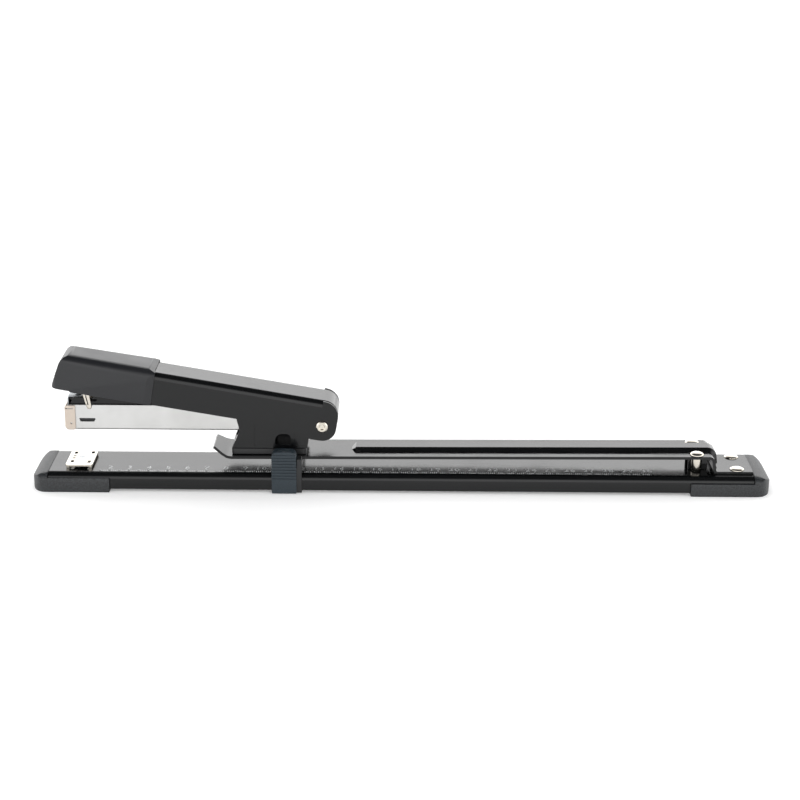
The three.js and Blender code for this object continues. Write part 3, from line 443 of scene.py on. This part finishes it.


# %% [markdown]
# The plain pieces go through that one step, each with its own radius. Sheet steel gets about a
# quarter of a millimetre once it is painted, mouldings a little more, plated parts less. The leaf
# spring rides on no body of its own.

# %% Eased pieces
# Each row is a frame node, its body, its finish, its slot in the record and its edge radius in mm.
EASED = [
    ("base_channel", "base", enamel, "black_paint", 0.3),
    ("front_foot", "base", foot_abs, "foot_plastic", 0.5),
    ("rear_foot", "base", foot_abs, "foot_plastic", 0.5),
    ("front_foot_screw", "base", zinc, "plain_steel", 0.1),
    ("rear_foot_screw", "base", zinc, "plain_steel", 0.1),
    ("long_arm", "base", enamel, "black_paint", 0.3),
    ("riser_block", "base", enamel, "black_paint", 0.25),
    ("bracket_pad", "base", acetal, "black_plastic", 0.3),
    ("head_bracket", "base", enamel, "black_paint", 0.25),
    ("bracket_rivet_front", "base", zinc, "plain_steel", 0.1),
    ("bracket_rivet_rear", "base", zinc, "plain_steel", 0.1),
    ("pivot_pin", "base", bright_nickel, "nickel", 0.12),
    ("pivot_washer_near", "base", zinc, "plain_steel", 0.1),
    ("pivot_washer_far", "base", zinc, "plain_steel", 0.1),
    ("anvil_plate", "anvil", bright_nickel, "nickel", 0.12),
    ("anvil_stem", "anvil_lifter", zinc, "plain_steel", 0.1),
    ("stop_slider", "paper_stop", acetal, "black_plastic", 0.25),
    ("stop_grip_near", "paper_stop", nylon, "grip_plastic", 0.15),
    ("stop_grip_far", "paper_stop", nylon, "grip_plastic", 0.15),
    ("stop_pad", "paper_stop", rubber, "rubber", 0.1),
    ("magazine_channel", "magazine", satin_nickel, "nickel", 0.2),
    ("head_plate", "magazine", champagne, "warm_nickel", 0.15),
    ("staple_rail", "magazine", zinc, "plain_steel", 0.1),
    ("pusher_rod", "magazine", zinc, "plain_steel", 0.1),
    ("pusher", "staple_pusher", acetal, "black_plastic", 0.2),
    ("inner_arm", "loading_arm", enamel, "black_paint", 0.2),
    ("latch_yoke", "loading_arm", bright_nickel, "nickel", 0.1),
    ("handle_shell", "handle", enamel, "black_paint", 0.25),
    ("handle_cap", "handle", cap_abs, "cap_plastic", 0.4),
    ("driver_arm", "handle", enamel, "black_paint", 0.2),
    ("driver_blade", "handle", zinc, "plain_steel", 0.08),
    ("driver_rivet", "handle", zinc, "plain_steel", 0.08),
    ("press_block", "handle", acetal, "black_plastic", 0.3),
    ("return_leaf", None, spring_wire, "spring_steel", 0.06),
]
for node, body, material, slot, radius in EASED:
    piece = eased(node, body, material, radius)
    print(piece.name, len(piece.data.polygons), "faces")

# %% [markdown]
# What repeats, or follows a path, is grown by Geometry Nodes. A node tree is a small machine with
# named sizes: the same coil tree winds three different springs. The helper below makes an empty
# object, sets the tree's inputs by their identifiers, and bakes what comes out to a plain mesh.

# %% Growing a piece from a node tree
def new_tree(name, inputs):
    tree = bpy.data.node_groups.new(name, "GeometryNodeTree")
    for label, kind, value in inputs:
        socket = tree.interface.new_socket(label, in_out="INPUT", socket_type=kind)
        if value is not None:
            socket.default_value = value
    tree.interface.new_socket("Geometry", in_out="OUTPUT", socket_type="NodeSocketGeometry")
    given = add(tree, "NodeGroupInput")
    return tree, given.outputs


def end_tree(tree, geometry, material):
    real = add(tree, "GeometryNodeRealizeInstances", {"Geometry": geometry})
    painted = add(tree, "GeometryNodeSetMaterial",
                  {"Geometry": real.outputs["Geometry"], "Material": material})
    add(tree, "NodeGroupOutput", {"Geometry": painted.outputs["Geometry"]})


def grow(name, tree, body, nodes, slot, **sizes):
    piece = bpy.data.objects.new(name, bpy.data.meshes.new(name))
    bpy.context.scene.collection.objects.link(piece)
    modifier = piece.modifiers.new(tree.name, "NODES")
    modifier.node_group = tree
    identifiers = {s.name: s.identifier for s in tree.interface.items_tree if s.in_out == "INPUT"}
    for label, value in sizes.items():
        modifier[identifiers[label.replace("_", " ")]] = value
    settle(piece, body, nodes)
    smooth(piece.data)
    print(name, "grown:", len(piece.data.polygons), "faces")
    return piece


# %% [markdown]
# A coil spring is one wire wound on a helix. The tree draws the helix, sweeps a round section along
# it and closes the cut ends. Turn and Place set it upright under the magazine and the anvil, or
# along the pusher's rod.

# %% Coil springs
coil, given = new_tree("coil_spring", [
    ("Turns", "NodeSocketFloat", 4.0),
    ("Radius", "NodeSocketFloat", 3 * MM),
    ("Height", "NodeSocketFloat", 7 * MM),
    ("Wire", "NodeSocketFloat", 0.5 * MM),
    ("Place", "NodeSocketVector", None),
    ("Turn", "NodeSocketVector", None),
    ("Material", "NodeSocketMaterial", None),
])
STEPS_PER_TURN = 28
WIRE_SIDES = 10
helix = add(coil, "GeometryNodeCurveSpiral", {"Resolution": STEPS_PER_TURN, "Rotations": given["Turns"],
            "Start Radius": given["Radius"], "End Radius": given["Radius"], "Height": given["Height"]})
section = add(coil, "GeometryNodeCurvePrimitiveCircle", {"Resolution": WIRE_SIDES, "Radius": given["Wire"]})
wire = add(coil, "GeometryNodeCurveToMesh", {"Curve": helix.outputs["Curve"],
           "Profile Curve": section.outputs["Curve"], "Fill Caps": True})
set_down = add(coil, "GeometryNodeTransform", {"Geometry": wire.outputs["Mesh"],
               "Translation": given["Place"], "Rotation": given["Turn"]})
end_tree(coil, set_down.outputs["Geometry"], given["Material"])


def spring(node, body, turns, wire_radius, lying=False):
    """Winds a coil into the node's own box, upright or lying along X."""
    low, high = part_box(node)
    middle, size = (low + high) / 2, high - low
    length = size.x if lying else size.z
    upright_place = (middle.x, middle.y, low.z + wire_radius)
    lying_place = (low.x + wire_radius, middle.y, middle.z)
    return grow(node + "_wound", coil, body, [node], "spring_steel", Turns=float(turns),
                Radius=size.y / 2 - wire_radius, Height=length - 2 * wire_radius, Wire=wire_radius,
                Place=lying_place if lying else upright_place,
                Turn=(0, math.pi / 2 if lying else 0, 0), Material=spring_wire)


magazine_spring = spring("magazine_spring", "base", 4, 0.5 * MM)
anvil_spring = spring("anvil_spring", "base", 3, 0.35 * MM)
pusher_spring = spring("pusher_spring", "magazine", 26, 0.3 * MM, lying=True)

# %% [markdown]
# A spring shortens as its joint moves, and the leaf spring bends between the handle and the
# loading arm. Here each coil only gets a mesh of its own, and the leaf's place is baked into its
# mesh, so they keep the shape they were given.

# %% Springs with meshes of their own
low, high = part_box("magazine_spring")
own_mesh(magazine_spring)
low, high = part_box("anvil_spring")
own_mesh(anvil_spring)
low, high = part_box("pusher_spring")
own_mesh(pusher_spring)
low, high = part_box("return_leaf")
leaf = bpy.data.objects["return_leaf_finished"]
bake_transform(leaf)
print("springs that give:", magazine_spring.name, anvil_spring.name, pusher_spring.name, leaf.name)

# %% [markdown]
# Staples are counted out along the rail. One staple is a flattened wire bent to a square bridge: the
# tree draws that path, gives it a four-sided section, and sets copies side by side on a row of
# points. The step is a little more than the wire, so the joints between the wires show.

# %% Strip of staples
strip, given = new_tree("staple_strip", [
    ("Count", "NodeSocketInt", 100),
    ("Half Width", "NodeSocketFloat", 6 * MM),
    ("Leg", "NodeSocketFloat", 5.8 * MM),
    ("Wire", "NodeSocketFloat", 0.5 * MM),
    ("Start", "NodeSocketVector", None),
    ("Step", "NodeSocketVector", None),
    ("Material", "NodeSocketMaterial", None),
])
right = given["Half Width"]
left = add(strip, "ShaderNodeMath", {0: right, 1: -1.0}, operation="MULTIPLY").outputs["Value"]
foot = add(strip, "ShaderNodeMath", {0: given["Leg"], 1: -1.0}, operation="MULTIPLY").outputs["Value"]
corners = []
for across, up in ((left, foot), (left, 0.0), (right, 0.0), (right, foot)):
    corner = add(strip, "ShaderNodeCombineXYZ", {"Y": across, "Z": up})
    corners.append(corner.outputs["Vector"])
square = add(strip, "GeometryNodeCurvePrimitiveQuadrilateral",
             {"Width": given["Wire"], "Height": given["Wire"]})
bridge = add(strip, "GeometryNodeJoinGeometry")
for start, end in zip(corners, corners[1:]):
    bar = add(strip, "GeometryNodeCurvePrimitiveLine", {"Start": start, "End": end})
    swept = add(strip, "GeometryNodeCurveToMesh", {"Curve": bar.outputs["Curve"],
                "Profile Curve": square.outputs["Curve"], "Fill Caps": True})
    strip.links.new(swept.outputs["Mesh"], bridge.inputs["Geometry"])
row = add(strip, "GeometryNodeMeshLine", {"Count": given["Count"], "Start Location": given["Start"],
          "Offset": given["Step"]})
copies = add(strip, "GeometryNodeInstanceOnPoints", {"Points": row.outputs["Mesh"],
             "Instance": bridge.outputs["Geometry"]})
end_tree(strip, copies.outputs["Instances"], given["Material"])

# %% Staples in the magazine
STAPLE_WIRE = 0.46 * MM
STAPLE_STEP = 0.5 * MM
low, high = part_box("staple_strip")
grow("staple_wires", strip, "magazine", ["staple_strip"], "staple_wire",
     Count=int((high.x - low.x) / STAPLE_STEP), Wire=STAPLE_WIRE,
     Half_Width=high.y - STAPLE_WIRE / 2, Leg=high.z - low.z - STAPLE_WIRE / 2,
     Start=(low.x + STAPLE_STEP / 2, 0, high.z - STAPLE_WIRE / 2), Step=(STAPLE_STEP, 0, 0),
     Material=staple_wire)

# %% [markdown]
# The ruler is pad printed on the base, with its zero where the staple leaves the magazine. Three
# rows of ticks share one tree, which lays thin bars of ink on a line of points.

# %% Ruler ticks
ticks, given = new_tree("ruler_ticks", [
    ("Count", "NodeSocketInt", 30),
    ("Length", "NodeSocketFloat", 2 * MM),
    ("Width", "NodeSocketFloat", 0.2 * MM),
    ("Ink", "NodeSocketFloat", 0.02 * MM),
    ("Start", "NodeSocketVector", None),
    ("Step", "NodeSocketVector", None),
    ("Material", "NodeSocketMaterial", None),
])
size = add(ticks, "ShaderNodeCombineXYZ", {"X": given["Width"], "Y": given["Length"], "Z": given["Ink"]})
mark = add(ticks, "GeometryNodeMeshCube", {"Size": size.outputs["Vector"]})
row = add(ticks, "GeometryNodeMeshLine", {"Count": given["Count"], "Start Location": given["Start"],
          "Offset": given["Step"]})
copies = add(ticks, "GeometryNodeInstanceOnPoints", {"Points": row.outputs["Mesh"],
             "Instance": mark.outputs["Mesh"]})
end_tree(ticks, copies.outputs["Instances"], given["Material"])

# %% Printed ticks
BLADE_TO_ZERO = 1.3 * MM  # how far the ruler's zero is behind the blade's front edge
ZERO_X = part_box("driver_blade")[0].x + BLADE_TO_ZERO
INK_LIFT = 0.02 * MM  # the middle of the ink's thickness is this far above the paint
ink_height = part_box("base_channel")[1].z + INK_LIFT
TICKS_START_Y = -14.4 * MM  # all the ticks begin on this line and run inwards
TICK_WIDTH = 0.3 * MM
TICK_THICKNESS = 0.03 * MM
# Each row is a name, the spacing, length and first mark in mm, and the number of ticks.
TICK_ROWS = [
    ("millimetre_ticks", 1, 1.8, 15, 286),
    ("half_centimetre_ticks", 5, 2.4, 15, 58),
    ("centimetre_ticks", 10, 3.2, 20, 29),
]
for name, spacing, length, first, count in TICK_ROWS:
    start = (ZERO_X + first * MM, TICKS_START_Y + length * MM / 2, ink_height)
    grow(name, ticks, "base", [], "black_paint", Count=count, Length=length * MM, Width=TICK_WIDTH,
         Ink=TICK_THICKNESS, Start=start, Step=(spacing * MM, 0, 0), Material=print_ink)

# %% [markdown]
# The numbers come from a second tree. It writes the ten digits once and sets copies of them on a
# line of points, one centimetre apart: the ones of each number, and the tens where there are any.
# Filling an outline lays it flat at height zero, so the filled figures are lifted to the paint.

# %% Ruler numbers
TENS_SHIFT = -0.62  # how far the tens stand to the left of the ones, as a share of the digit size
numbers, given = new_tree("ruler_numbers", [
    ("Count", "NodeSocketInt", 30),
    ("First", "NodeSocketFloat", 1.0),
    ("Digit", "NodeSocketFloat", 2.6 * MM),
    ("Surface", "NodeSocketFloat", 10 * MM),
    ("Start", "NodeSocketVector", None),
    ("Step", "NodeSocketVector", None),
    ("Material", "NodeSocketMaterial", None),
])
written = add(numbers, "GeometryNodeStringToCurves", {"String": "0123456789", "Size": given["Digit"]})
origin = add(numbers, "ShaderNodeCombineXYZ")
digits = add(numbers, "GeometryNodeSetPosition", {"Geometry": written.outputs["Curve Instances"],
             "Position": origin.outputs["Vector"]})
row = add(numbers, "GeometryNodeMeshLine", {"Count": given["Count"], "Start Location": given["Start"],
          "Offset": given["Step"]})
index = add(numbers, "GeometryNodeInputIndex")
value = add(numbers, "ShaderNodeMath", {0: index.outputs["Index"], 1: given["First"]}, operation="ADD")
ones = add(numbers, "ShaderNodeMath", {0: value.outputs["Value"], 1: 10.0}, operation="MODULO")
tenth = add(numbers, "ShaderNodeMath", {0: value.outputs["Value"], 1: 10.0}, operation="DIVIDE")
tens = add(numbers, "ShaderNodeMath", {0: tenth.outputs["Value"]}, operation="FLOOR")
has_tens = add(numbers, "ShaderNodeMath", {0: tens.outputs["Value"], 1: 0.5}, operation="GREATER_THAN")
ones_row = add(numbers, "GeometryNodeInstanceOnPoints", {"Points": row.outputs["Mesh"],
               "Instance": digits.outputs["Geometry"],
               "Pick Instance": True, "Instance Index": ones.outputs["Value"]})
tens_row = add(numbers, "GeometryNodeInstanceOnPoints", {"Points": row.outputs["Mesh"],
               "Selection": has_tens.outputs["Value"], "Instance": digits.outputs["Geometry"],
               "Pick Instance": True, "Instance Index": tens.outputs["Value"]})
back_step = add(numbers, "ShaderNodeMath", {0: given["Digit"], 1: TENS_SHIFT}, operation="MULTIPLY")
to_left = add(numbers, "ShaderNodeCombineXYZ", {"X": back_step.outputs["Value"]})
shifted = add(numbers, "GeometryNodeTransform", {"Geometry": tens_row.outputs["Instances"],
              "Translation": to_left.outputs["Vector"]})
outlines = add(numbers, "GeometryNodeJoinGeometry")
for part in (ones_row.outputs["Instances"], shifted.outputs["Geometry"]):
    numbers.links.new(part, outlines.inputs["Geometry"])
loose = add(numbers, "GeometryNodeRealizeInstances", {"Geometry": outlines.outputs["Geometry"]})
filled = add(numbers, "GeometryNodeFillCurve", {"Curve": loose.outputs["Geometry"]})
lift = add(numbers, "ShaderNodeCombineXYZ", {"Z": given["Surface"]})
printed = add(numbers, "GeometryNodeTransform", {"Geometry": filled.outputs["Mesh"],
              "Translation": lift.outputs["Vector"]})
end_tree(numbers, printed.outputs["Geometry"], given["Material"])

# %% Printed numbers
CENTIMETRE = 10 * MM
FIRST_NUMBER, LAST_NUMBER = 2, 30
DIGIT_SIZE = 5.4 * MM
HALF_DIGIT = 1.5 * MM  # a digit is written to the right of its point, so the row starts this much early
NUMBERS_Y = TICKS_START_Y + 4 * MM
numbers_start = (ZERO_X + FIRST_NUMBER * CENTIMETRE - HALF_DIGIT, NUMBERS_Y, 0)
grow("ruler_figures", numbers, "base", [], "black_paint", Count=LAST_NUMBER - FIRST_NUMBER + 1,
     First=float(FIRST_NUMBER), Digit=DIGIT_SIZE, Surface=ink_height, Start=numbers_start,
     Step=(CENTIMETRE, 0, 0), Material=print_ink)

# %% [markdown]
# Posts and tab rivets are turned parts in mirror pairs. One is spun from its profile, and a tree
# sets it down at each place, so both sides are the same by construction. Spinning can leave the
# faces turned inwards, so their normals are worked out again once the doubles are merged.

# %% Spinning a profile
TURNED_SIDES = 48


def turned(name, profile):
    """A closed body of revolution about Z from (radius, height) pairs in mm, lowest first."""
    shape = bmesh.new()
    points = [shape.verts.new((r * MM, 0, z * MM)) for r, z in profile]
    edges = [shape.edges.new(pair) for pair in zip(points, points[1:])]
    bmesh.ops.spin(shape, geom=points + edges, cent=(0, 0, 0), axis=(0, 0, 1), angle=2 * math.pi,
                   steps=TURNED_SIDES)
    bmesh.ops.remove_doubles(shape, verts=shape.verts, dist=SAME_POINT)
    bmesh.ops.recalc_face_normals(shape, faces=shape.faces)
    mesh = bpy.data.meshes.new(name)
    shape.to_mesh(mesh)
    shape.free()
    smooth(mesh)
    return bpy.data.objects.new(name, mesh)


# %% Setting a pair down
pairs, given = new_tree("set_down_in_a_row", [
    ("Part", "NodeSocketObject", None),
    ("Count", "NodeSocketInt", 2),
    ("Start", "NodeSocketVector", None),
    ("Step", "NodeSocketVector", None),
    ("Material", "NodeSocketMaterial", None),
])
part = add(pairs, "GeometryNodeObjectInfo", {"Object": given["Part"]})
row = add(pairs, "GeometryNodeMeshLine", {"Count": given["Count"], "Start Location": given["Start"],
          "Offset": given["Step"]})
copies = add(pairs, "GeometryNodeInstanceOnPoints", {"Points": row.outputs["Mesh"],
             "Instance": part.outputs["Geometry"]})
end_tree(pairs, copies.outputs["Instances"], given["Material"])


def pair_of(name, profile, near, far, body, slot, material):
    """Two copies of one turned part, in the places of the near and the far node."""
    one = turned(name + "_one", profile)
    low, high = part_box(near)
    other_low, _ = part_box(far)
    start = Vector(((low.x + high.x) / 2, (low.y + high.y) / 2, low.z))
    grow(name, pairs, body, [near, far], slot, Part=one, Count=2, Start=tuple(start),
         Step=tuple(other_low - low), Material=material)
    bpy.data.objects.remove(one)


# %% Guide posts and tab rivets
# Radius and height in mm, from the staked end up: a neck through the sheet, the post's own body
# between base and arm, a second neck, and the domed head. A rivet has one neck and no body.
POST_PROFILE = [(0, 0), (2.5, 0), (2.6, 0.9), (1.6, 0.9), (1.6, 2.1), (2.35, 2.1), (2.5, 2.3), (2.8, 8.3),
                (2.75, 9.9), (1.6, 9.95), (1.6, 11.8), (3.5, 11.8), (3.7, 11.95), (3.65, 12.2), (3.3, 12.6),
                (2.6, 12.95), (1.7, 13.15), (0, 13.2)]
RIVET_PROFILE = [(0, 0), (2.5, 0), (2.6, 0.9), (1.6, 0.9), (1.6, 3.8), (3.5, 3.8), (3.7, 3.9), (3.65, 4.15),
                 (3.3, 4.45), (2.6, 4.7), (1.7, 4.85), (0, 4.9)]
pair_of("guide_posts", POST_PROFILE, "guide_post_near", "guide_post_far", "base", "nickel", bright_nickel)
pair_of("tab_rivets", RIVET_PROFILE, "tab_rivet_near", "tab_rivet_far", "base", "nickel", bright_nickel)
